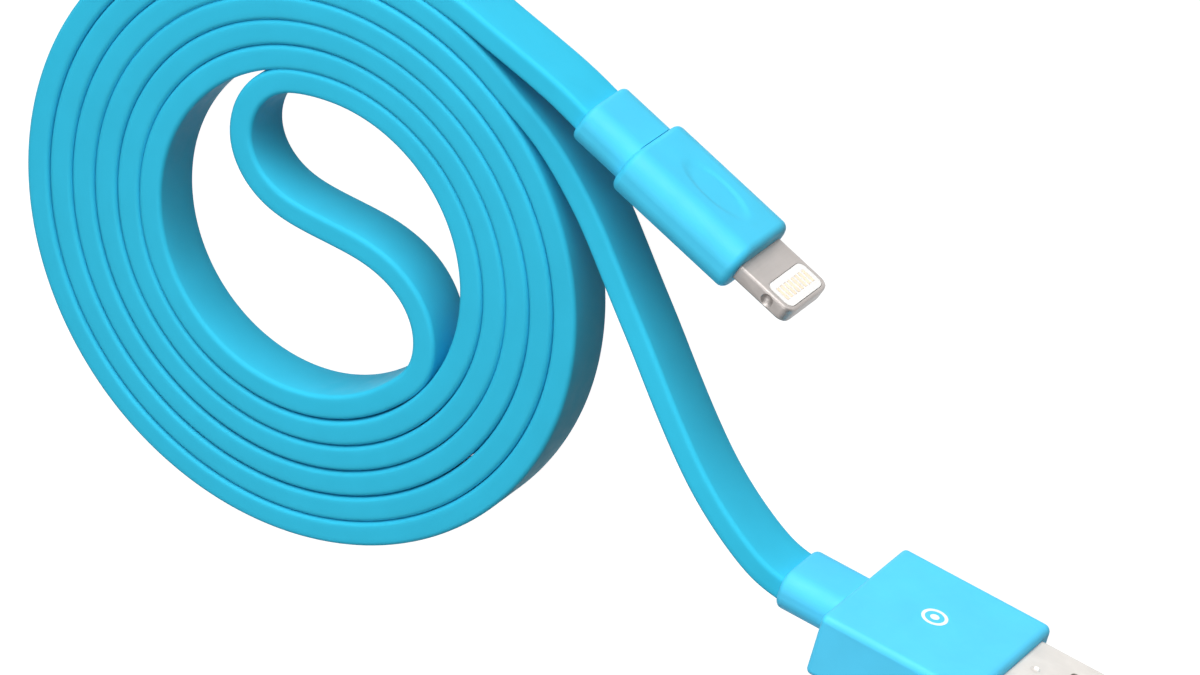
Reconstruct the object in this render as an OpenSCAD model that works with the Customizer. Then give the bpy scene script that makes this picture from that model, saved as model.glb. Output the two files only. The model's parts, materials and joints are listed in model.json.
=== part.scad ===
// Charging cable: a flat cord wound into a flat coil, with a host plug and a tab plug.
// +X is the way the host plug goes in, +Z is up, and the origin lies under that plug's middle.
// Both plugs and the cord stand on their narrow sides, so widths run along Z.

/* [Flat cord] */
// Width of the cord, which stands on its edge
ribbon_w = 5.4; // [3:0.1:6]
// Thickness of the cord
ribbon_t = 2.2; // [1.5:0.1:3]
// How far the cord's corners are cut back
ribbon_corner = 0.5; // [0.2:0.1:1]
// Inner radius of the coil
coil_inner_r = 15; // [12:0.5:25]
// Outer radius of the coil
coil_outer_r = 30.5; // [25:0.5:45]
// Strands side by side across the coil
coil_strands = 7; // [3:1:10]
// Coil centre, from the origin along X
coil_x = -68.15; // [-120:0.05:-50]
// Coil centre, from the origin along Y
coil_y = 4.4; // [-40:0.05:40]

/* [Host plug] */
// Width of the steel shell
shell_w = 12; // [11.9:0.1:12.1]
// Thickness of the steel shell
shell_t = 4.5; // [4.4:0.1:4.6]
// Length of shell that shows in front of the housing
shell_reach = 12.3; // [11:0.1:13]
// Length of shell inside the housing
shell_root = 7; // [5:0.5:9]
// Thickness of the shell's sheet steel
shell_wall = 0.3; // [0.2:0.05:0.4]
// Side of the square windows in the shell
window_side = 2.2; // [2:0.1:2.5]
// Distance from the shell's mouth to the middle of the windows
window_back = 7.2; // [5:0.1:8]
// Distance from the plug's middle to the middle of each window
window_out = 2.6; // [2:0.1:3.5]
// Width of the housing
host_w = 14.7; // [13:0.1:16]
// Thickness of the housing
host_t = 6; // [5.9:0.1:8]
// Length of the housing
host_len = 14.5; // [12:0.5:20]
// Width of the strain relief
host_relief_w = 6.8; // [6:0.1:8]
// Thickness of the strain relief
host_relief_t = 3.7; // [3:0.1:5]
// Length of the strain relief
host_relief_len = 5.8; // [4:0.1:10]

/* [Tab plug] */
// Width of the tab
tab_w = 6.65; // [6.6:0.01:6.7]
// Thickness of the tab
tab_t = 1.5; // [1.4:0.05:1.6]
// Length of tab that shows in front of the housing
tab_reach = 5.7; // [5.5:0.1:6.8]
// Width of the housing
device_w = 9; // [8:0.1:10]
// Thickness of the housing
device_t = 4.7; // [4:0.1:6]
// Length of the housing
device_len = 12.7; // [10:0.1:14]
// Width of the strain relief
device_relief_w = 6.9; // [6:0.1:8]
// Thickness of the strain relief
device_relief_t = 4; // [3:0.1:5]
// Length of the strain relief
device_relief_len = 5.3; // [4:0.1:8]
// Contacts on each side of the tab
tab_contacts = 8; // [8:1:8]
// Distance from one contact to the next
tab_pitch = 0.6; // [0.55:0.01:0.65]
// Middle of the tab's tip, from the origin along X
device_x = -23.4; // [-60:0.05:0]
// Middle of the tab's tip, from the origin along Y
device_y = 22.45; // [0:0.05:60]
// Turn of the tab plug about Z
device_turn = -18; // [-90:0.5:90]

/* [Fit] */
// Play round each piece that sits in another
play = 0.05; // [0.02:0.01:0.1]
// Diameter of an insulated wire
wire_d = 0.8; // [0.5:0.05:1]

/* [Hidden] */
$fn = 48;
overlap = 0.5;
blue = [0.31, 0.78, 0.95];
steel = [0.80, 0.78, 0.76];
white = [0.93, 0.93, 0.92];
gold = [0.86, 0.68, 0.36];

// Host plug, along X
host_back = -(host_relief_len + host_len + shell_reach) / 2;
host_rear = host_back + host_relief_len;
host_front = host_rear + host_len;
host_tip = host_front + shell_reach;
host_z = host_w / 2;
host_wall = 0.5;
host_rear_wall = 1;
host_front_wall = 0.5;
host_round = 0.9;
host_end_round = 0.6;
shell_round = 0.6;
shell_back = host_front - shell_root;
mould_back = host_rear + host_rear_wall + 0.85;
mould_front = host_front - host_front_wall - play;

// Inside the host plug's shell
bay_w = shell_w - 2 * shell_wall;
bay_t = shell_t - 2 * shell_wall;
tongue_root = host_front + 1;
tongue_tip = host_tip - 0.5;
tongue_face = -0.1;
pin_z = [-3.5, -1, 1, 3.5];
pin_front = [host_tip - 1.3, host_tip - 2.3, host_tip - 2.3, host_tip - 1.3];
pin_back = shell_back - 3;
pin_w = 1;
pin_face = tongue_face + 0.05;
pin_t = 0.25;

// Tab plug, along its own X, with 0 at the tab's tip
device_front = -tab_reach;
device_rear = device_front - device_len;
device_back = device_rear - device_relief_len;
device_z = device_w / 2;
device_wall = 0.5;
device_front_wall = 0.55;
device_rear_wall = 0.85;
device_round = 2;
device_end_round = 0.7;
tab_round = 0.25;
flange_front = device_front - device_front_wall - play;
flange_t = 0.8;
flange_back = flange_front - flange_t;
pad_l = 2.8;
pad_w = 5.7;
pad_front = -0.35;
tab_pad_l = 1.3;
tab_pad_w = 0.34;
tab_pad_t = 0.12;
board_t = 0.6;
board_w = 5.1;
board_back = device_rear + 3;
can_back = device_rear + 2.4;
can_w = 7.2;
can_t = 2.9;
can_wall = 0.15;

// Wires lie side by side across the cord
wire_step = 0.95;
wire_z = [for (i = [0:3]) (i - 1.5) * wire_step];
wire_bore = wire_d + 0.06;
wire_sides = 12;
neck_w = 5.4;
neck_t = 2.9;
neck_round = 0.8;

// Routes of the cord's middle line outside the coil. The third number is how far the cord
// has risen from the floor to the middle of its plug, from 0 to 1.
low = ribbon_w / 2;
host_route = [for (p = [
  [-52.5, 26.71, 0], [-50.65, 25.85, 0], [-48.85, 24.75, 0.012], [-46.15, 22.77, 0.056],
  [-43.45, 20.58, 0.125], [-40.86, 18.17, 0.23], [-38.1, 15.53, 0.344], [-35.31, 13.02, 0.47],
  [-32.58, 10.45, 0.605], [-29.29, 7.45, 0.75], [-26.27, 4.89, 0.855], [-23.6, 3.06, 0.927],
  [-21.2, 1.66, 0.97], [-19.32, 0.7, 0.99], [-17.9, 0.13, 1], [-17.1, 0, 1],
  [host_back, 0, 1]]) [p.x, p.y, low + p.z * (host_z - low)]];
device_route = [
  for (p = [[-60.6, 32.6, 0], [-58.5, 32.12, 0.04], [-56.3, 31.7, 0.17], [-54.1, 31.42, 0.35],
    [-51.95, 31.1, 0.54], [-49.8, 30.8, 0.74], [-47.8, 30.4, 0.91]])
    [p.x, p.y, low + p.z * (device_z - low)],
  device_point(device_back - 1), device_point(device_back)];
fold_route = [for (p = [
  [-5, 14.6], [-6.36, 14.05], [-7.45, 13.15], [-8.45, 11.85], [-9.15, 9.95], [-9.2, 7.85],
  [-8.68, 6.1], [-7.84, 4.9], [-6.5, 3.72], [-4.5, 2.8], [-2.45, 2.5], [-0.1, 2.5],
  [2.3, 2.57], [4.5, 2.6], [6.45, 2.37], [8, 1.93], [9.3, 1.36], [10.4, 0.6],
  [11.55, -0.5], [12.42, -1.85], [12.97, -3.5], [13.07, -5], [12.92, -6.45],
  [12.45, -7.95]]) [coil_x + p.x, coil_y + p.y, low]];

// The point on the tab plug's axis at x along it
function device_point(x) =
  [device_x + x * cos(device_turn), device_y + x * sin(device_turn), device_z];

module at_host() translate([0, 0, host_z]) children();

module at_device() translate([device_x, device_y, device_z]) rotate([0, 0, device_turn]) children();

// A rectangle with round corners, about the middle
module round_rect(a, b, r) {
  square([a - 2 * r, b], center = true);
  square([a, b - 2 * r], center = true);
  for (x = [-1, 1], y = [-1, 1]) translate([x * (a / 2 - r), y * (b / 2 - r)]) circle(r);
}

// A bar along X with round long edges: w is its size along Z and t along Y
module bar(x0, x1, w, t, r)
  translate([x0, 0, 0]) rotate([90, 0, 90]) linear_extrude(x1 - x0) round_rect(t, w, r);

// The same bar with its back end rounded too, and its front end if soft_front is true
module soft_bar(x0, x1, w, t, r, r_end, soft_front = true) {
  past = soft_front ? 0 : r_end;
  middle = (x0 + x1 + past) / 2;
  span = x1 - x0 + past;
  intersection() {
    bar(x0, x1, w, t, r);
    translate([middle, 0, 0]) linear_extrude(w + 2, center = true) round_rect(span, t, r_end);
    translate([middle, 0, 0]) rotate([90, 0, 0])
      linear_extrude(t + 2, center = true) round_rect(span, w, r_end);
  }
}

// A plain block from one corner to the other
module block(low_corner, high_corner) translate(low_corner) cube(high_corner - low_corner);

module wire_bores(x0, x1)
  for (z = wire_z) translate([x0, 0, z]) rotate([0, 90, 0]) cylinder(d = wire_bore, h = x1 - x0);

// The cord's cross-section: across its thickness, then up
ribbon_section = [for (s = [[1, 1], [-1, 1], [-1, -1], [1, -1]])
  let (a = ribbon_t / 2, b = ribbon_w / 2, c = ribbon_corner, flat = s.x * s.y > 0)
  each flat ? [[s.x * a, s.y * (b - c)], [s.x * (a - c), s.y * b]]
            : [[s.x * (a - c), s.y * b], [s.x * a, s.y * (b - c)]]];

// The direction of a route at one of its points
function heading(route, i) =
  let (d = route[min(i + 1, len(route) - 1)] - route[max(i - 1, 0)]) d / norm(d);

// The ring of the cord's surface round one point of its route, upright all the way
function ribbon_ring(route, i) =
  let (h = heading(route, i), level = norm([h.x, h.y]))
  [for (s = ribbon_section) route[i] + [-h.y / level * s.x, h.x / level * s.x, s.y]];

// The ring of a wire's surface round one of its points
function wire_ring(route, i) =
  let (h = heading(route, i), left = cross([0, 0, 1], h), u = left / norm(left), v = cross(h, u))
  [for (a = [0:360 / wire_sides:359]) route[i] + wire_d / 2 * (cos(a) * u + sin(a) * v)];

// A closed skin over rings that all have the same number of points
module skin(rings) {
  n = len(rings[0]);
  last = len(rings) - 1;
  polyhedron(
    points = [for (r = rings) each r],
    faces = [
      [for (k = [n - 1:-1:0]) k],
      [for (k = [0:n - 1]) last * n + k],
      for (i = [0:last - 1], k = [0:n - 1]) let (a = i * n + k, b = i * n + (k + 1) % n)
        each [[a, b, b + n], [a, b + n, a + n]]]);
}

module ribbon(route) skin([for (i = [0:len(route) - 1]) ribbon_ring(route, i)]);

module wire(route) skin([for (i = [0:len(route) - 1]) wire_ring(route, i)]);

// Steel tube folded from sheet, with a seam on its far side and four windows
module host_plug_shell() color(steel) at_host() difference() {
  seam = 0.08;
  bar(shell_back, host_tip, shell_w, shell_t, shell_round);
  bar(shell_back - 1, host_tip + 1, bay_w, bay_t, shell_round - shell_wall);
  for (z = [-window_out, window_out]) translate([host_tip - window_back, 0, z])
    cube([window_side, shell_t + 2, window_side], center = true);
  block([shell_back - 1, -shell_t / 2 - 1, -seam / 2], [host_tip + 1, -shell_t / 2 + 1, seam / 2]);
}

// Plastic block that fills the back of the shell, and the tongue in its mouth
module host_plug_tongue() color(white) at_host() difference() {
  half_w = bay_w / 2 - play;
  half_t = bay_t / 2 - play;
  union() {
    bar(shell_back + 0.1, tongue_root, 2 * half_w, 2 * half_t, shell_round - shell_wall);
    block([tongue_root - overlap, -half_t, -half_w], [tongue_tip, tongue_face, half_w]);
  }
  for (i = [0:3]) block(
    [shell_back - 1, pin_face - pin_t - play, pin_z[i] - pin_w / 2 - play],
    [pin_front[i] + play, pin_face + play, pin_z[i] + pin_w / 2 + play]);
}

// Four flat contacts in the tongue's grooves, with tails behind the block
module host_plug_contacts() color(gold) at_host() for (i = [0:3]) block(
  [pin_back, pin_face - pin_t, pin_z[i] - pin_w / 2], [pin_front[i], pin_face, pin_z[i] + pin_w / 2]);

// Ring that grips the four wires where they leave the cord
module host_plug_crimp_ring() color(steel) at_host() difference() {
  ring_back = mould_back + 0.1;
  ring_len = 1.1;
  bar(ring_back, ring_back + ring_len, 5, 2, 0.7);
  bar(ring_back - 1, ring_back + ring_len + 1, 4, 1.1, 0.5);
}

// Stiff core moulded round the back of the shell, hollow round the wires
module host_plug_inner_mould() color(white) at_host() difference() {
  core_w = host_w - 2 * host_wall - 2 * play;
  core_t = host_t - 2 * host_wall + 2 * play;
  bar(mould_back, mould_front, core_w, core_t - 4 * play, host_round - 0.1);
  bar(shell_back - play, mould_front + 1, shell_w + 2 * play, shell_t + 2 * play, shell_round + play);
  block([mould_back - 1, -1.3, -4.6], [shell_back, 1.3, 4.6]);
}

// Outer housing, open in front for the shell and behind for the strain relief's neck
module host_plug_housing() color(blue) at_host() difference() {
  soft_bar(host_rear, host_front, host_w, host_t, host_round, host_end_round);
  bar(host_rear + host_rear_wall, host_front - host_front_wall,
    host_w - 2 * host_wall, host_t - 2 * host_wall + 2 * play, host_round - 0.05);
  bar(host_front - 1, host_front + 1, shell_w + 2 * play, shell_t + 2 * play, shell_round + play);
  bar(host_rear - 1, host_rear + 2, neck_w + 2 * play, neck_t + 2 * play, neck_round + play);
}

// Soft collar round the cord, held by a flange behind the housing's back wall
module host_plug_strain_relief() color(blue) at_host() difference() {
  neck_front = host_rear + host_rear_wall + play;
  union() {
    soft_bar(host_back, host_rear, host_relief_w, host_relief_t, 1.2, 0.5, soft_front = false);
    bar(host_rear - overlap, neck_front + overlap, neck_w, neck_t, neck_round);
    bar(neck_front, mould_back - play, 8, 4.2, neck_round);
  }
  wire_bores(host_back - 1, mould_back + 1);
}

// Wire i: through the collar and the crimp ring, then out to its own contact.
// The lower two are the upper two turned over.
module host_wire(i, tint) color(tint) at_host() mirror([0, 0, i < 2 ? 1 : 0]) {
  upper = max(i, 3 - i);
  solder_y = pin_face + wire_d / 2 + 0.02;
  wire([[host_back, 0, wire_z[upper]], [host_rear + 3.3, 0, wire_z[upper]],
    [host_rear + 4.9, solder_y, pin_z[upper]], [shell_back - 0.6, solder_y, pin_z[upper]]]);
}

module host_ground_wire() host_wire(0, [0.1, 0.1, 0.1]);

module host_data_plus_wire() host_wire(1, [0.15, 0.55, 0.25]);

module host_data_minus_wire() host_wire(2, [0.95, 0.95, 0.95]);

module host_power_wire() host_wire(3, [0.8, 0.12, 0.1]);

module cable_lead_host() color(blue) ribbon(host_route);

module cable_centre_fold() color(blue) ribbon(fold_route);

module cable_lead_device() color(blue) ribbon(device_route);

// The wound cord as one ring, with a groove between each strand and the next
module cable_coil() color(blue) translate([coil_x, coil_y, 0]) rotate_extrude() {
  step = (coil_outer_r - coil_inner_r) / coil_strands;
  groove = ribbon_corner / 2;
  for (i = [0:coil_strands - 1]) translate([coil_inner_r + (i + 0.5) * step, low])
    polygon(ribbon_section);
  translate([coil_inner_r + ribbon_corner, groove])
    square([coil_outer_r - coil_inner_r - 2 * ribbon_corner, ribbon_w - 2 * groove]);
}

// Steel tab with a window through it for the contacts, a latch dimple each side and a flange
module device_plug_frame() color(steel) at_device() difference() {
  tip_round = 1;
  dimple_r = 0.65;
  dimple_out = tab_w / 2 + 0.3;
  tab_l = -flange_back;
  union() {
    intersection() {
      bar(-tab_l, 0, tab_w, tab_t, tab_round);
      translate([-tab_l / 2 - 1, 0, 0]) rotate([90, 0, 0])
        linear_extrude(tab_t + 2, center = true) round_rect(tab_l + 2, tab_w, tip_round);
    }
    bar(flange_back, flange_front, 7.9, 3.5, 1.5);
  }
  translate([pad_front - pad_l / 2, 0, 0]) rotate([90, 0, 0])
    linear_extrude(tab_t + 2, center = true) round_rect(pad_l, pad_w, 0.7);
  block([flange_back - 1, -board_t / 2 - play, -board_w / 2 - play],
    [pad_front - pad_l + overlap, board_t / 2 + play, board_w / 2 + play]);
  for (z = [-dimple_out, dimple_out]) translate([-2.3, 0, z]) sphere(dimple_r);
}

// The flat contacts of one side: side is 1 or -1, and grow widens them into their recesses
module tab_pads(side, grow) {
  outer = tab_t / 2 + (grow > 0 ? 1 : 0);
  inner = tab_t / 2 - tab_pad_t - grow;
  for (i = [0:tab_contacts - 1])
    translate([pad_front - pad_l / 2, side * (inner + outer) / 2, (i - (tab_contacts - 1) / 2) * tab_pitch])
      cube([tab_pad_l + 2 * grow, outer - inner, tab_pad_w + 2 * grow], center = true);
}

// White plastic that fills the tab's window and holds the contacts
module device_plug_contact_insert() color(white) at_device() difference() {
  translate([pad_front - pad_l / 2, 0, 0]) rotate([90, 0, 0])
    linear_extrude(tab_t, center = true) round_rect(pad_l - 2 * play, pad_w - 2 * play, 0.65);
  tab_pads(1, 0.02);
  tab_pads(-1, 0.02);
}

module device_plug_front_contacts() color(gold) at_device() tab_pads(1, 0);

module device_plug_back_contacts() color(gold) at_device() tab_pads(-1, 0);

// Circuit board that joins the tab's contacts to the wires
module device_plug_board() color([0.1, 0.35, 0.25]) at_device() block(
  [board_back, -board_t / 2, -board_w / 2], [pad_front - pad_l, board_t / 2, board_w / 2]);

module device_plug_chip() color([0.08, 0.08, 0.09]) at_device() {
  chip = 2.4;
  chip_back = device_rear + 6;
  block([chip_back, board_t / 2, -chip / 2], [chip_back + chip, board_t / 2 + 0.7, chip / 2]);
}

// Four small capacitors on the board's other side
module device_plug_capacitors() color([0.65, 0.5, 0.35]) at_device()
  for (x = [0, 2], z = [-1.2, 1.2]) translate([device_rear + 5 + x, -board_t / 2 - 0.25, z])
    cube([1, 0.5, 0.5], center = true);

// Thin steel sleeve round the board
module device_plug_shield_can() color(steel) at_device() difference() {
  bar(can_back, flange_back - play, can_w, can_t, 0.9);
  bar(can_back - 1, flange_back + 1, can_w - 2 * can_wall, can_t - 2 * can_wall, 0.75);
}

// Stiff core moulded round the sleeve, hollow behind it for the wires
module device_plug_inner_mould() color(white) at_device() difference() {
  core_back = device_rear + device_rear_wall + play;
  bar(core_back, flange_back - play, device_w - 2 * device_wall - 2 * play,
    device_t - 2 * device_wall - 2 * play, device_round - 0.6);
  bar(can_back - play, flange_back + 1, can_w + 2 * play, can_t + 2 * play, 0.95);
  block([core_back - 1, -0.6, -2.3], [can_back, 1.3, 2.3]);
}

// Outer housing, open in front for the tab and behind for the strain relief's neck
module device_plug_housing() color(blue) at_device() difference() {
  soft_bar(device_rear, device_front, device_w, device_t, device_round, device_end_round);
  bar(device_rear + device_rear_wall, device_front - device_front_wall,
    device_w - 2 * device_wall, device_t - 2 * device_wall, device_round - device_wall);
  bar(device_front - 1, device_front + 1, tab_w + 2 * play, tab_t + 2 * play, tab_round + play);
  bar(device_rear - 1, device_rear + 1, neck_w + 2 * play, neck_t + 2 * play, neck_round + play);
}

// Soft collar round the cord, with a neck through the housing's back wall
module device_plug_strain_relief() color(blue) at_device() difference() {
  union() {
    soft_bar(device_back, device_rear, device_relief_w, device_relief_t, 1.8, 0.6, soft_front = false);
    bar(device_rear - overlap, device_rear + device_rear_wall, neck_w, neck_t, neck_round);
  }
  wire_bores(device_back - 1, device_rear + 2);
}

// Wire i: through the collar, then up onto the board
module device_wire(i, tint) color(tint) at_device() {
  solder_y = board_t / 2 + wire_d / 2 + 0.02;
  wire([[device_back, 0, wire_z[i]], [device_rear + 1.4, 0, wire_z[i]],
    [can_back - 0.2, solder_y, wire_z[i]], [board_back + 2.2, solder_y, wire_z[i]]]);
}

module device_ground_wire() device_wire(0, [0.1, 0.1, 0.1]);

module device_data_plus_wire() device_wire(1, [0.15, 0.55, 0.25]);

module device_data_minus_wire() device_wire(2, [0.95, 0.95, 0.95]);

module device_power_wire() device_wire(3, [0.8, 0.12, 0.1]);

host_plug_shell();
host_plug_tongue();
host_plug_contacts();
host_plug_crimp_ring();
host_plug_inner_mould();
host_plug_housing();
host_plug_strain_relief();
host_power_wire();
host_data_minus_wire();
host_data_plus_wire();
host_ground_wire();
cable_lead_host();
cable_coil();
cable_centre_fold();
cable_lead_device();
device_plug_frame();
device_plug_contact_insert();
device_plug_front_contacts();
device_plug_back_contacts();
device_plug_board();
device_plug_chip();
device_plug_capacitors();
device_plug_shield_can();
device_plug_inner_mould();
device_plug_housing();
device_plug_strain_relief();
device_power_wire();
device_data_minus_wire();
device_data_plus_wire();
device_ground_wire();
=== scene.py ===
"""A charging cable: a flat cord wound into a flat coil, a host plug and a tab plug.

Lengths are in metres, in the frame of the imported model: +X is the way the host plug goes in,
+Z is up, and the origin lies on the floor under that plug's middle. Both plugs and the cord
stand on their narrow sides, so every width runs along Z.
"""

import json
import math

import bmesh
import bpy
from mathutils import Matrix, Quaternion, Vector


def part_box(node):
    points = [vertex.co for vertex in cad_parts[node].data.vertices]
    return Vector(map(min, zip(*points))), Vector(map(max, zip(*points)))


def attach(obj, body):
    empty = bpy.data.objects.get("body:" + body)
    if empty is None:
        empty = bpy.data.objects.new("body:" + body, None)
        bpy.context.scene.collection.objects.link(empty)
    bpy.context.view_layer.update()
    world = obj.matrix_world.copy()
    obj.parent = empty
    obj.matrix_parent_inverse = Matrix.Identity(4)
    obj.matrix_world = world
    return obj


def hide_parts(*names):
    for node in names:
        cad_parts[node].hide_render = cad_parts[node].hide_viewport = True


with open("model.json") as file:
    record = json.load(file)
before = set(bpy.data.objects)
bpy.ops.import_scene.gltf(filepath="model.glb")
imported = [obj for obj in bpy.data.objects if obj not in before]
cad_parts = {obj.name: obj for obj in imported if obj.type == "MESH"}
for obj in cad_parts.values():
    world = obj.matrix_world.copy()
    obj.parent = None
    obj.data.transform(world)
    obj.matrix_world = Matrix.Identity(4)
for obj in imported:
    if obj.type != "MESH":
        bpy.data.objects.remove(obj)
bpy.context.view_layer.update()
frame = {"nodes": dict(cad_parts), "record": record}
MM = 0.001

# Flat cord
CORD_W = 5.4 * MM
CORD_T = 2.25 * MM
CORD_ROUND = 0.42 * MM
LOW = CORD_W / 2
LINE_STEP = 0.55 * MM
SMOOTHINGS = 12

# Coil: both arms of the double spiral run between these angles, in degrees turned
COIL_INNER = 15 * MM
STRAND_STEP = 2.3 * MM
COIL_AT = (-68.15 * MM, 4.4 * MM)
COIL_TURN = 17.7
HOST_ARM = (-122, 863)
DEVICE_ARM = (-84, 1023)
ARM_STEP = 12
STRAND_WANDER = 0.025 * MM
STRAND_LIFT = 0.06 * MM
INNER_SHIFT = 0.32 * MM
INNER_TURNED = 720

# Plugs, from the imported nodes
host_housing_low, host_housing_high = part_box("host_plug_housing")
host_relief_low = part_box("host_plug_strain_relief")[0]
host_shell_low, host_shell_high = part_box("host_plug_shell")
HOST_Z = (host_housing_low.z + host_housing_high.z) / 2
HOST_BACK = host_relief_low.x
HOST_REAR = host_housing_low.x
HOST_FRONT = host_housing_high.x
MARK_AT = (-3.7 * MM, 7.2 * MM)
DEVICE_AT = (-23.4 * MM, 22.45 * MM)
DEVICE_TURN = -18
device_housing_low, device_housing_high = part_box("device_plug_housing")
DEVICE_Z = (device_housing_low.z + device_housing_high.z) / 2
TAB_REACH = 5.7 * MM
DEVICE_LEN = 12.7 * MM
DEVICE_RELIEF_LEN = 5.3 * MM
DEVICE_BACK = -(TAB_REACH + DEVICE_LEN + DEVICE_RELIEF_LEN)


def device_point(x):
    """The point on the tab plug's axis, x in front of the tab's tip."""
    turn = math.radians(DEVICE_TURN)
    return Vector((DEVICE_AT[0] + x * math.cos(turn), DEVICE_AT[1] + x * math.sin(turn), DEVICE_Z))


# ---------------------------------------------------------------- camera, floor and light


CABLE_MIDDLE = Vector((-0.04, 0.005, 0))


def add_camera():
    """The camera stands behind the host plug's wide side, looks down and is rolled well over."""
    data = bpy.data.cameras.new("camera")
    data.lens = 210
    data.sensor_width = 36
    data.clip_start = 0.01
    camera = bpy.data.objects.new("camera", data)
    bpy.context.scene.collection.objects.link(camera)
    camera.location = (0.15168, 0.31741, 0.46489)
    looking = Vector((-0.04215, 0.00703, 0)) - camera.location
    roll = Quaternion((0, 0, 1), math.radians(-125.81))
    camera.rotation_mode = "QUATERNION"
    camera.rotation_quaternion = looking.to_track_quat("-Z", "Y") @ roll
    bpy.context.scene.camera = camera


def add_area_light(name, place, size, power):
    """A square soft light at place that faces the middle of the cable."""
    data = bpy.data.lights.new(name, "AREA")
    data.size = size
    data.energy = power
    light = bpy.data.objects.new(name, data)
    bpy.context.scene.collection.objects.link(light)
    light.location = place
    light.rotation_mode = "QUATERNION"
    light.rotation_quaternion = (CABLE_MIDDLE - light.location).to_track_quat("-Z", "Y")
    return light


def add_studio():
    world = bpy.data.worlds.new("studio")
    bpy.context.scene.world = world
    world.use_nodes = True
    world.node_tree.nodes["Background"].inputs["Color"].default_value = (1, 1, 1, 1)
    world.node_tree.nodes["Background"].inputs["Strength"].default_value = 0.05
    add_area_light("key", (-0.12, 0.66, 0.24), 0.70, 8.2)
    add_area_light("top", (0.00, 0.00, 0.80), 0.60, 3.0)
    card = add_area_light("card", (-0.15, -0.35, 0.55), 0.90, 1.5)
    card.visible_diffuse = False
    bpy.context.scene.view_settings.view_transform = "Standard"

    floor_mesh = bpy.data.meshes.new("floor")
    reach = 3.0
    drop = 0.02 * MM
    corners = [(x * reach, y * reach, -drop) for x, y in ((-1, -1), (1, -1), (1, 1), (-1, 1))]
    floor_mesh.from_pydata(corners, [], [(0, 1, 2, 3)])
    floor = bpy.data.objects.new("floor", floor_mesh)
    bpy.context.scene.collection.objects.link(floor)
    floor.data.materials.append(floor_material())
    floor.visible_diffuse = False


# ---------------------------------------------------------------- materials


class Surface:
    """A Principled material with mottled colour, uneven roughness and a fine bump, from noise."""

    def __init__(self, name, roughness, **sockets):
        self.material = bpy.data.materials.new(name)
        self.material.use_nodes = True
        self.nodes = self.material.node_tree.nodes
        self.links = self.material.node_tree.links
        self.shader = self.nodes["Principled BSDF"]
        self.shader.inputs["Roughness"].default_value = roughness
        for socket, value in sockets.items():
            self.shader.inputs[socket.replace("_", " ")].default_value = value
        self.place = self.nodes.new("ShaderNodeTexCoord").outputs["Object"]

    def noise(self, scale, detail=2.0, stretch=(1, 1, 1)):
        mapping = self.nodes.new("ShaderNodeMapping")
        mapping.inputs["Scale"].default_value = stretch
        noise = self.nodes.new("ShaderNodeTexNoise")
        noise.inputs["Scale"].default_value = scale
        noise.inputs["Detail"].default_value = detail
        self.links.new(self.place, mapping.inputs["Vector"])
        self.links.new(mapping.outputs["Vector"], noise.inputs["Vector"])
        return noise.outputs["Fac"]

    def between(self, factor, low, high):
        """factor's middle range, spread from low to high."""
        spread = self.nodes.new("ShaderNodeMapRange")
        spread.inputs["From Min"].default_value = 0.3
        spread.inputs["From Max"].default_value = 0.7
        spread.inputs["To Min"].default_value = low
        spread.inputs["To Max"].default_value = high
        self.links.new(factor, spread.inputs["Value"])
        return spread.outputs["Result"]

    def mottle(self, dark, light, scale):
        mix = self.nodes.new("ShaderNodeMix")
        mix.data_type = "RGBA"
        mix.inputs["A"].default_value = (*dark, 1)
        mix.inputs["B"].default_value = (*light, 1)
        self.links.new(self.between(self.noise(scale), 0, 1), mix.inputs["Factor"])
        self.links.new(mix.outputs["Result"], self.shader.inputs["Base Color"])
        return self

    def uneven(self, low, high, scale, stretch=(1, 1, 1)):
        factor = self.noise(scale, 3.0, stretch)
        self.links.new(self.between(factor, low, high), self.shader.inputs["Roughness"])
        return self

    def grain(self, scale, depth, strength=0.4, stretch=(1, 1, 1)):
        bump = self.nodes.new("ShaderNodeBump")
        bump.inputs["Distance"].default_value = depth
        bump.inputs["Strength"].default_value = strength
        self.links.new(self.noise(scale, 3.0, stretch), bump.inputs["Height"])
        self.links.new(bump.outputs["Normal"], self.shader.inputs["Normal"])
        return self


def scaled(colour, factor):
    return tuple(min(c * factor, 1.0) for c in colour)


def moulded(name, colour, roughness, spread=0.04, **sockets):
    """Moulded plastic or rubber: a fine matt grain and hardly any mottling."""
    surface = Surface(name, roughness, **sockets)
    surface.mottle(scaled(colour, 1 - spread), scaled(colour, 1 + spread), 260)
    surface.uneven(roughness - 0.05, roughness + 0.07, 900)
    surface.grain(5200, 0.012 * MM)
    return surface.material


def brushed(name, colour, roughness, stretch, metallic=1.0):
    """Metal with fine lines along the axis whose stretch is small."""
    surface = Surface(name, roughness, Metallic=metallic)
    surface.mottle(scaled(colour, 0.94), scaled(colour, 1.05), 500)
    surface.uneven(roughness - 0.05, roughness + 0.08, 4000, stretch)
    surface.grain(5000, 0.003 * MM, 0.3, stretch)
    return surface.material


def floor_material():
    surface = Surface("floor", 0.6)
    surface.mottle((0.14, 0.14, 0.14), (0.15, 0.15, 0.15), 12)
    surface.shader.inputs["Emission Color"].default_value = (1, 1, 1, 1)
    surface.shader.inputs["Emission Strength"].default_value = 1.0
    return surface.material


BLUE = (0.075, 0.625, 0.95)
TAB_PLUG_BLUE = (0.055, 0.585, 0.87)
CORD_BLUE = (0.035, 0.53, 0.775)


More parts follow.
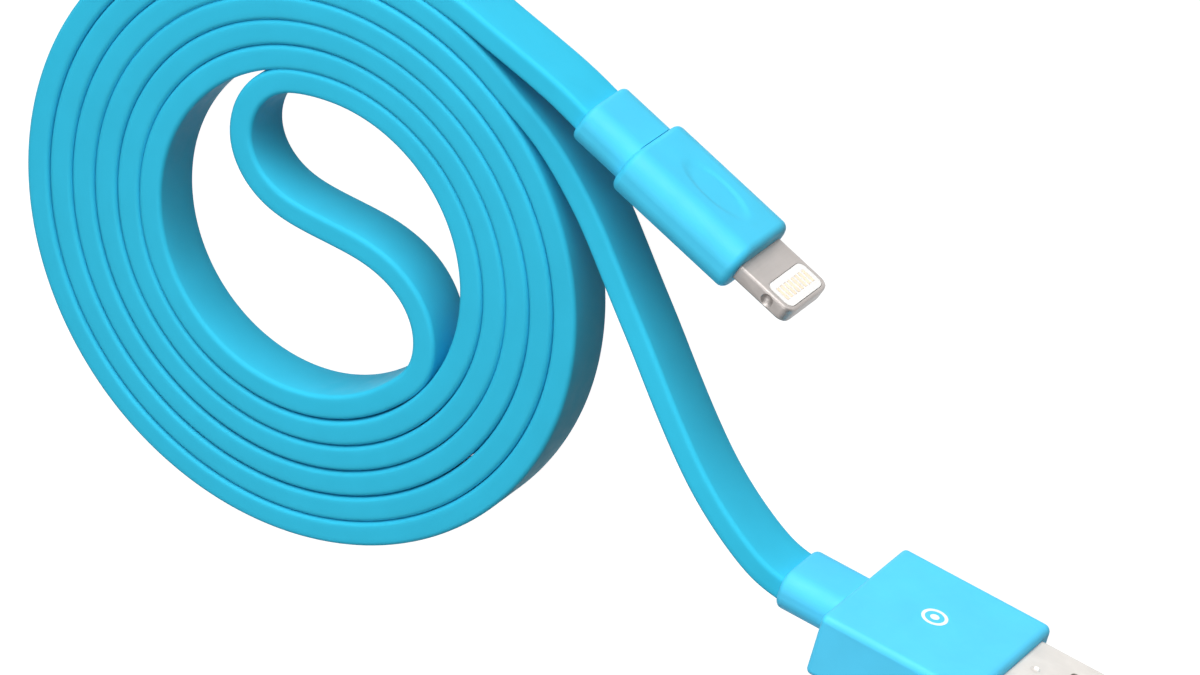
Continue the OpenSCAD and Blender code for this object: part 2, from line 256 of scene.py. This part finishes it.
def make_materials():
    return {
        "housing_blue": moulded("housing_blue", BLUE, 0.5, 0.03, Specular_IOR_Level=0.35),
        "tab_plug_blue": moulded(
            "tab_plug_blue", TAB_PLUG_BLUE, 0.5, 0.03, Specular_IOR_Level=0.3),
        "relief_blue": moulded(
            "relief_blue", scaled(BLUE, 0.96), 0.52, 0.03, Specular_IOR_Level=0.3),
        "cord_blue": moulded("cord_blue", CORD_BLUE, 0.5, 0.02, Specular_IOR_Level=0.06),
        "mark_white": moulded("mark_white", (0.92, 0.95, 0.96), 0.4),
        "shell_steel": brushed("shell_steel", (0.70, 0.67, 0.635), 0.36, (0.04, 1, 1), 0.85),
        "tab_steel": brushed("tab_steel", (0.48, 0.445, 0.425), 0.48, (1, 1, 0.05), 0.72),
        "contact_gold": brushed("contact_gold", (0.93, 0.78, 0.60), 0.28, (0.1, 1, 1)),
        "tongue_plastic": moulded("tongue_plastic", (0.86, 0.86, 0.84), 0.5),
        "core_plastic": moulded("core_plastic", (0.84, 0.84, 0.82), 0.5),
        "insert_white": moulded("insert_white", (0.93, 0.92, 0.90), 0.35, 0.02),
        "board_green": moulded("board_green", (0.04, 0.20, 0.12), 0.35, 0.3),
        "chip_black": moulded("chip_black", (0.03, 0.03, 0.03), 0.5, 0.2),
        "capacitor_tan": moulded("capacitor_tan", (0.50, 0.37, 0.24), 0.4, 0.15),
        "wire_red": moulded("wire_red", (0.55, 0.03, 0.03), 0.35),
        "wire_white": moulded("wire_white", (0.85, 0.85, 0.85), 0.35),
        "wire_green": moulded("wire_green", (0.03, 0.35, 0.10), 0.35),
        "wire_black": moulded("wire_black", (0.03, 0.03, 0.03), 0.35),
    }


MATERIALS = make_materials()


def soften(piece, width, harden=False):
    """Rounds the hard edges of a piece a little."""
    bevel = piece.modifiers.new("soft_edges", "BEVEL")
    bevel.width = width
    bevel.segments = 2
    bevel.limit_method = "ANGLE"
    bevel.angle_limit = math.radians(35)
    bevel.harden_normals = harden


def finish_cad_nodes():
    """Every CAD node that stays gets its slot's own material."""
    for entry in frame["record"]["subparts"]:
        node = frame["nodes"][entry["node"]]
        node.data.materials.clear()
        node.data.materials.append(MATERIALS[entry["material_slot"]])
        if "wire" not in entry["node"]:
            soften(node, 0.04 * MM)


# ---------------------------------------------------------------- mesh helpers


def finish_piece(name, bm, slot, material=None, sharp=35):
    """Turns bm into a piece that rides on the cable, smooth except at edges over sharp degrees."""
    bmesh.ops.recalc_face_normals(bm, faces=bm.faces)
    mesh = bpy.data.meshes.new(name)
    bm.to_mesh(mesh)
    bm.free()
    mesh.polygons.foreach_set("use_smooth", [True] * len(mesh.polygons))
    mesh.set_sharp_from_angle(angle=math.radians(sharp))
    mesh.materials.append(MATERIALS[material or slot])
    piece = bpy.data.objects.new(name, mesh)
    bpy.context.scene.collection.objects.link(piece)
    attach(piece, "root")
    return piece


def eased(count):
    """count + 1 numbers from 0 to 1, close together near both ends."""
    return [0.5 - 0.5 * math.cos(math.pi * i / count) for i in range(count + 1)]


def round_ring(half_t, half_w, radius, corner=8, side=8):
    """A rectangle with round corners about the middle, as (y, z), with points along its sides."""
    radius = min(radius, half_t, half_w)
    centres = [(half_t - radius, half_w - radius, 0), (radius - half_t, half_w - radius, 90)]
    centres += [(radius - half_t, radius - half_w, 180), (half_t - radius, radius - half_w, 270)]
    ring = []
    for index, (cy, cz, start) in enumerate(centres):
        arc = []
        for step in range(corner + 1):
            angle = math.radians(start + 90 * step / corner)
            arc.append((cy + radius * math.cos(angle), cz + radius * math.sin(angle)))
        ring += arc
        next_cy, next_cz, next_start = centres[(index + 1) % 4]
        angle = math.radians(next_start)
        end = (next_cy + radius * math.cos(angle), next_cz + radius * math.sin(angle))
        for t in eased(side)[1:-1]:
            y = arc[-1][0] + t * (end[0] - arc[-1][0])
            z = arc[-1][1] + t * (end[1] - arc[-1][1])
            ring.append((y, z))
    return ring


def loft(rings, looped=False):
    """A bmesh skin over rings of points: capped at both ends, or looped back to its first ring."""
    bm = bmesh.new()
    made = [[bm.verts.new(p) for p in ring] for ring in rings]
    count = len(rings[0])
    for a, b in zip(made, made[1:] + made[:1] if looped else made[1:]):
        for k in range(count):
            bm.faces.new((a[k], a[(k + 1) % count], b[(k + 1) % count], b[k]))
    if not looped:
        bm.faces.new(list(reversed(made[0])))
        bm.faces.new(made[-1])
    return bm


def cut(bm, *tools):
    """bm without the space inside any of the closed tools."""
    parts = []
    for part in (bm, *tools):
        bmesh.ops.recalc_face_normals(part, faces=part.faces)
        mesh = bpy.data.meshes.new("cut")
        part.to_mesh(mesh)
        part.free()
        parts.append(bpy.data.objects.new("cut", mesh))
        bpy.context.scene.collection.objects.link(parts[-1])
    for tool in parts[1:]:
        modifier = parts[0].modifiers.new("cut", "BOOLEAN")
        modifier.operation = "DIFFERENCE"
        modifier.solver = "EXACT"
        modifier.object = tool
    result = bmesh.new()
    result.from_object(parts[0], bpy.context.evaluated_depsgraph_get())
    for part in parts:
        bpy.data.meshes.remove(part.data)
    return result


def plate(x, z, half_x, half_z, radius, y0, y1):
    """A closed round-cornered plate that lies across Y, from y0 to y1."""
    ring = round_ring(half_x, half_z, radius, corner=6, side=1)
    return loft([[Vector((x + a, y, z + b)) for a, b in ring] for y in (y0, y1)])


def ball(place, radius):
    bm = bmesh.new()
    bmesh.ops.create_uvsphere(bm, u_segments=32, v_segments=16, radius=radius)
    bmesh.ops.translate(bm, verts=bm.verts, vec=place)
    return bm


def fillet(x, half_t, half_w, radius, size, towards, steps=6):
    """Stations that round an end at x: towards is -1 for a back end and 1 for a front end.

    They run from the flat of the end out to the full section.
    """
    stations = []
    for i in range(steps + 1):
        angle = math.radians(90 * i / steps)
        inset = size * (1 - math.sin(angle))
        along = size * (1 - math.cos(angle))
        corner = max(radius - inset, 0.05 * MM)
        stations.append((x - towards * along, half_t - inset, half_w - inset, corner))
    return stations


def sweep_body(stations, corner=8, side=8):
    """Rings in a plug's own frame, for stations of (x, half thickness, half width, radius)."""
    rings = []
    for x, half_t, half_w, radius in stations:
        ring = round_ring(half_t, half_w, radius, corner, side)
        rings.append([Vector((x, y, z)) for y, z in ring])
    return rings


def body_stations(x0, x1, half_t, half_w, radius, back, front, along=10):
    """Stations of a block with round ends, from its back face's edge to its front face's edge."""
    stations = fillet(x0, half_t, half_w, radius, back, -1)
    straight0, straight1 = x0 + back, x1 - front
    for t in eased(along)[1:-1]:
        stations.append((straight0 + t * (straight1 - straight0), half_t, half_w, radius))
    stations += reversed(fillet(x1, half_t, half_w, radius, front, 1))
    return stations


HOST_MATRIX = Matrix.Translation((0, 0, HOST_Z))
DEVICE_MATRIX = (
    Matrix.Translation((*DEVICE_AT, DEVICE_Z)) @ Matrix.Rotation(math.radians(DEVICE_TURN), 4, "Z"))


def placed(bm, matrix):
    bmesh.ops.transform(bm, matrix=matrix, verts=bm.verts)
    return bm


# ---------------------------------------------------------------- the flat cord

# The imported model's middle lines, without the points at the plugs. They began as the cord's edges,
# traced on the photo and projected through the solved camera by a separate script, and were then
# moved by hand. Millimetres; the leads' third number runs from 0 on the floor to 1 at the plug's
# middle height, and the fold is measured from the coil's middle.
HOST_ROUTE = [
    (-52.5, 26.71, 0), (-50.65, 25.85, 0), (-48.85, 24.75, 0.012), (-46.15, 22.77, 0.056),
    (-43.45, 20.58, 0.125), (-40.86, 18.17, 0.23), (-38.1, 15.53, 0.344), (-35.31, 13.02, 0.47),
    (-32.58, 10.45, 0.605), (-29.29, 7.45, 0.75), (-26.27, 4.89, 0.855), (-23.6, 3.06, 0.927),
    (-21.2, 1.66, 0.97), (-19.32, 0.7, 0.99), (-17.9, 0.13, 1), (-17.1, 0, 1)]
DEVICE_ROUTE = [
    (-60.6, 32.6, 0), (-58.5, 32.12, 0.04), (-56.3, 31.7, 0.17), (-54.1, 31.42, 0.35),
    (-51.95, 31.1, 0.54), (-49.8, 30.8, 0.74), (-47.8, 30.4, 0.91)]
FOLD_ROUTE = [
    (-5, 14.6), (-6.36, 14.05), (-7.45, 13.15), (-8.45, 11.85), (-9.15, 9.95), (-9.2, 7.85),
    (-8.68, 6.1), (-7.84, 4.9), (-6.5, 3.72), (-4.5, 2.8), (-2.45, 2.5), (-0.1, 2.5),
    (2.3, 2.57), (4.5, 2.6), (6.45, 2.37), (8, 1.93), (9.3, 1.36), (10.4, 0.6),
    (11.55, -0.5), (12.42, -1.85), (12.97, -3.5), (13.07, -5), (12.92, -6.45),
    (12.45, -7.95)]


def on_arm(turned, half_turn):
    """A point of one arm of the double spiral, after it has turned so many degrees."""
    radius = COIL_INNER + STRAND_STEP * (0.5 + turned / 180)
    radius += STRAND_WANDER * math.sin(math.radians(1.7 * turned + half_turn / 2))
    angle = math.radians(COIL_TURN - half_turn - turned)
    inner = max(0, 1 - turned / INNER_TURNED)
    height = LOW + STRAND_LIFT * (1 + math.sin(math.radians(1.3 * turned + half_turn)))
    return Vector((
        COIL_AT[0] + radius * math.cos(angle),
        COIL_AT[1] + radius * math.sin(angle) + INNER_SHIFT * inner, height))


def risen(point, plug_z):
    """A lead's point, at its height between the floor and the plug's middle."""
    x, y, rise = point
    return Vector((x * MM, y * MM, LOW + rise * (plug_z - LOW)))


def cord_points():
    """The whole middle line's points, from the host plug to the tab plug."""
    host_lead = [risen(p, HOST_Z) for p in reversed(HOST_ROUTE)]
    fold = [
        Vector((COIL_AT[0] + x * MM, COIL_AT[1] + y * MM, LOW))
        for x, y in reversed(FOLD_ROUTE[1:-1])]
    device_lead = [risen(p, DEVICE_Z) for p in DEVICE_ROUTE]
    host_turned = range(HOST_ARM[1] - ARM_STEP, HOST_ARM[0], -ARM_STEP)
    host_arm = [on_arm(turned, 180) for turned in host_turned]
    device_turned = range(DEVICE_ARM[0], DEVICE_ARM[1] - ARM_STEP // 2, ARM_STEP)
    device_arm = [on_arm(turned, 0) for turned in device_turned]
    ends = [device_point(DEVICE_BACK - MM), device_point(DEVICE_BACK)]
    start = [Vector((HOST_BACK, 0, HOST_Z))]
    return start + host_lead + host_arm + fold + device_arm + device_lead + ends


def smooth_line(points, step):
    """A Catmull-Rom curve through the points, cut into equal steps."""
    fine = []
    padded = [2 * points[0] - points[1], *points, 2 * points[-1] - points[-2]]
    for a, b, c, d in zip(padded, padded[1:], padded[2:], padded[3:]):
        pieces = max(2, int((c - b).length / (0.3 * MM)))
        for i in range(pieces):
            t = i / pieces
            fine.append(0.5 * (2 * b + (c - a) * t + (2 * a - 5 * b + 4 * c - d) * t * t
                               + (3 * b - a - 3 * c + d) * t ** 3))
    fine.append(points[-1])
    line, left = [fine[0]], step
    for a, b in zip(fine, fine[1:]):
        length = (b - a).length
        at = 0.0
        while length - at >= left:
            at += left
            line.append(a.lerp(b, at / length))
            left = step
        left -= length - at
    if (line[-1] - fine[-1]).length > 0.3 * step:
        line.append(fine[-1])
    else:
        line[-1] = fine[-1]
    return line


def relaxed(line, rounds):
    """The line with small kinks averaged out and both ends held."""
    for _ in range(rounds):
        inner = [(a + 2 * b + c) / 4 for a, b, c in zip(line, line[1:], line[2:])]
        line = [line[0], *inner, line[-1]]
    return line


def cord_ring(line, i):
    """The cord's section at one point of its line, upright."""
    before, after = line[max(i - 1, 0)], line[min(i + 1, len(line) - 1)]
    heading = (after - before).normalized()
    across = Vector((-heading.y, heading.x, 0)).normalized()
    up = Vector((0, 0, 1))
    return [line[i] + across * y + up * z for y, z in CORD_SECTION]


CORD_SECTION = round_ring(CORD_T / 2, CORD_W / 2, CORD_ROUND, corner=5, side=3)


def add_cord():
    """The cord as one ribbon, and the middle line that it follows."""
    line = relaxed(smooth_line(cord_points(), LINE_STEP), SMOOTHINGS)
    bm = loft([cord_ring(line, i) for i in range(len(line))])
    cord = finish_piece("cable_ribbon", bm, "cord_blue", sharp=50)
    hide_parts("cable_lead_host", "cable_coil", "cable_centre_fold", "cable_lead_device")
    return cord, line


# ---------------------------------------------------------------- both housings and collars


def add_housing(
        name, node, matrix, x0, x1, half_t, half_w, radius, rims, mouth, material=None, shape=None):
    """A moulded housing: rims are how round its back and front ends are.

    Its front face has an opening of mouth (half thickness, half width, corner radius).
    shape, if there is one, moves each of its points.
    """
    stations = body_stations(x0, x1, half_t, half_w, radius, *rims, along=40)
    mouth_t, mouth_w, mouth_r = mouth
    lip = 0.06 * MM
    mouth_depth = 1.5 * MM
    stations.append((x1, mouth_t + lip, mouth_w + lip, mouth_r + lip))
    stations += [(x1 - depth, mouth_t, mouth_w, mouth_r) for depth in (lip, mouth_depth)]
    bm = loft(sweep_body(stations, corner=10, side=36))
    if shape:
        for v in bm.verts:
            v.co = shape(v.co.copy())
    piece = finish_piece(name, placed(bm, matrix), "housing_blue", material)
    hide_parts(node)
    return piece


def add_collar(name, node, matrix, x0, x1, half_t, half_w, radius, rim, material=None):
    """A strain relief: a soft-edged collar whose back face closes round the cord."""
    gap, lip, hole_depth = 0.03 * MM, 0.1 * MM, 0.6 * MM
    hole_t, hole_w = CORD_T / 2 + gap, CORD_W / 2 + gap
    stations = [(x0 + depth, hole_t, hole_w, CORD_ROUND) for depth in (hole_depth, lip)]
    stations.append((x0, hole_t + lip, hole_w + lip, CORD_ROUND + lip))
    stations += body_stations(x0, x1, half_t, half_w, radius, rim, 0.01 * MM, along=8)
    bm = loft(sweep_body(stations))
    piece = finish_piece(name, placed(bm, matrix), "relief_blue", material)
    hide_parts(node)
    return piece


def pressed_oval(co):
    """A shallow oval hollow in each wide face of the tab plug's housing, for the thumb."""
    half_length, half_height, depth, slope = 3.7 * MM, 1.75 * MM, 0.13 * MM, 0.22
    wide_face = 2.0 * MM
    middle = -(TAB_REACH + 0.48 * DEVICE_LEN)
    away = math.hypot((co.x - middle) / half_length, co.z / half_height)
    if away < 1 and abs(co.y) > wide_face:
        edge = min((1 - away) / slope, 1)
        co.y -= math.copysign(depth * edge * edge * (3 - 2 * edge), co.y)
    return co


# ---------------------------------------------------------------- metal parts and the printed mark


def add_shell():
    """The host plug's shell: folded sheet with a seam, four windows and a stop dimple."""
    back, tip = host_shell_low.x, host_shell_high.x
    half_t, half_w, wall = 2.25 * MM, 6.0 * MM, 0.3 * MM
    lip = 0.1 * MM
    stations = [(back, half_t, half_w, 0.6 * MM)]
    stations += reversed(fillet(tip, half_t, half_w, 0.6 * MM, lip, 1, steps=3))
    inner_t, inner_w = half_t - wall, half_w - wall
    inner_r = 0.3 * MM
    stations.append((tip, inner_t + lip, inner_w + lip, 0.4 * MM))
    stations += [(x, inner_t, inner_w, inner_r) for x in (tip - lip, back)]
    window_x, window_out, window_half = tip - 7.2 * MM, 2.6 * MM, 1.1 * MM
    past = 3 * MM
    tools = [
        plate(window_x, z, window_half, window_half, 0.3 * MM, -past, past)
        for z in (-window_out, window_out)]
    middle, reach = (back + tip) / 2, (tip - back) / 2 + MM
    seam_half = 0.04 * MM
    tools.append(plate(middle, 0, reach, seam_half, 0.01 * MM, -past, -1 * MM))
    tools.append(ball((HOST_FRONT + 1.5 * MM, half_t + 0.42 * MM, -1.5 * MM), 0.6 * MM))
    bm = cut(loft(sweep_body(stations, corner=8, side=1), looped=True), *tools)
    shell = finish_piece("host_shell", placed(bm, HOST_MATRIX), "shell_steel")
    soften(shell, 0.04 * MM, harden=True)
    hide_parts("host_plug_shell")


def add_tab():
    """The tab: round-edged steel with a window for the contacts, latch dimples and a flange."""
    half_t, half_w, radius = 0.75 * MM, 3.325 * MM, 0.25 * MM
    tip_round, tip_soft = 1.0 * MM, 0.22 * MM
    flange_front = -TAB_REACH - 0.6 * MM
    flange_back = flange_front - 0.8 * MM
    flange = (1.75 * MM, 3.95 * MM, 1.5 * MM)
    stations = [(flange_back, *flange), (flange_front, *flange)]
    stations.append((flange_front, half_t, half_w, radius))
    tip_steps = 12
    for i in range(tip_steps + 1):
        angle = math.radians(90 * i / tip_steps)
        x = -tip_round * (1 - math.sin(angle))
        w = half_w - tip_round * (1 - math.cos(angle))
        near = max(x + tip_soft, 0) / tip_soft
        t = half_t - tip_soft * (1 - math.sqrt(1 - near * near))
        stations.append((x, t, w, min(radius, t - 0.02 * MM)))
    pad_middle, pad_back = -1.75 * MM, -3.15 * MM
    window = plate(pad_middle, 0, 1.4 * MM, 2.85 * MM, 0.7 * MM, -2 * MM, 2 * MM)
    slot_middle = (flange_back - MM + pad_back + 0.5 * MM) / 2
    slot_reach = pad_back + 0.5 * MM - slot_middle
    slot = plate(slot_middle, 0, slot_reach, 2.6 * MM, 0.05 * MM, -0.35 * MM, 0.35 * MM)
    dimples = [ball((-2.3 * MM, 0, side * (half_w + 0.3 * MM)), 0.65 * MM) for side in (-1, 1)]
    bm = cut(loft(sweep_body(stations, corner=8, side=1)), window, slot, *dimples)
    tab = finish_piece("device_tab", placed(bm, DEVICE_MATRIX), "tab_steel")
    soften(tab, 0.04 * MM, harden=True)
    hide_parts("device_plug_frame")
    return tab


def add_mark():
    """A plain printed ring and dot on the host plug's wide side."""
    face = host_housing_high.y - 0.01 * MM
    rings = []
    sides = 48
    angles = [math.radians(360 * k / sides) for k in range(sides)]
    for radius, y in ((1.15, 0), (1.15, 0.03), (0.85, 0.03), (0.85, 0)):
        rings.append([
            Vector((radius * MM * math.cos(a), face + y * MM, radius * MM * math.sin(a)))
            for a in angles])
    bm = loft(rings, looped=True)
    dot = bmesh.ops.create_circle(bm, cap_ends=True, segments=32, radius=0.4 * MM)["verts"]
    for v in dot:
        v.co = Vector((v.co.x, face + 0.03 * MM, v.co.y))
    bmesh.ops.translate(bm, verts=bm.verts, vec=(MARK_AT[0], 0, MARK_AT[1]))
    finish_piece("host_mark", bm, "insert_white", "mark_white")


# ---------------------------------------------------------------- build

add_camera()
cord, cord_line = add_cord()
add_studio()
finish_cad_nodes()

add_housing(
    "host_housing", "host_plug_housing", HOST_MATRIX, HOST_REAR, HOST_FRONT,
    3.0 * MM, 7.35 * MM, 0.6 * MM, (0.5 * MM, 0.7 * MM), (2.28 * MM, 6.03 * MM, 0.62 * MM))
add_collar(
    "host_collar", "host_plug_strain_relief", HOST_MATRIX, HOST_BACK, HOST_REAR,
    1.85 * MM, 3.4 * MM, 1.6 * MM, 0.5 * MM)
device_housing = add_housing(
    "device_housing", "device_plug_housing", DEVICE_MATRIX, -TAB_REACH - DEVICE_LEN, -TAB_REACH,
    2.35 * MM, 4.5 * MM, 2.0 * MM, (0.6 * MM, 0.7 * MM), (0.78 * MM, 3.355 * MM, 0.28 * MM),
    "tab_plug_blue", pressed_oval)
add_shell()
add_mark()
tab = add_tab()
device_collar = add_collar(
    "device_collar", "device_plug_strain_relief", DEVICE_MATRIX,
    DEVICE_BACK, DEVICE_BACK + DEVICE_RELIEF_LEN,
    2.0 * MM, 3.45 * MM, 1.7 * MM, 0.5 * MM, "tab_plug_blue")
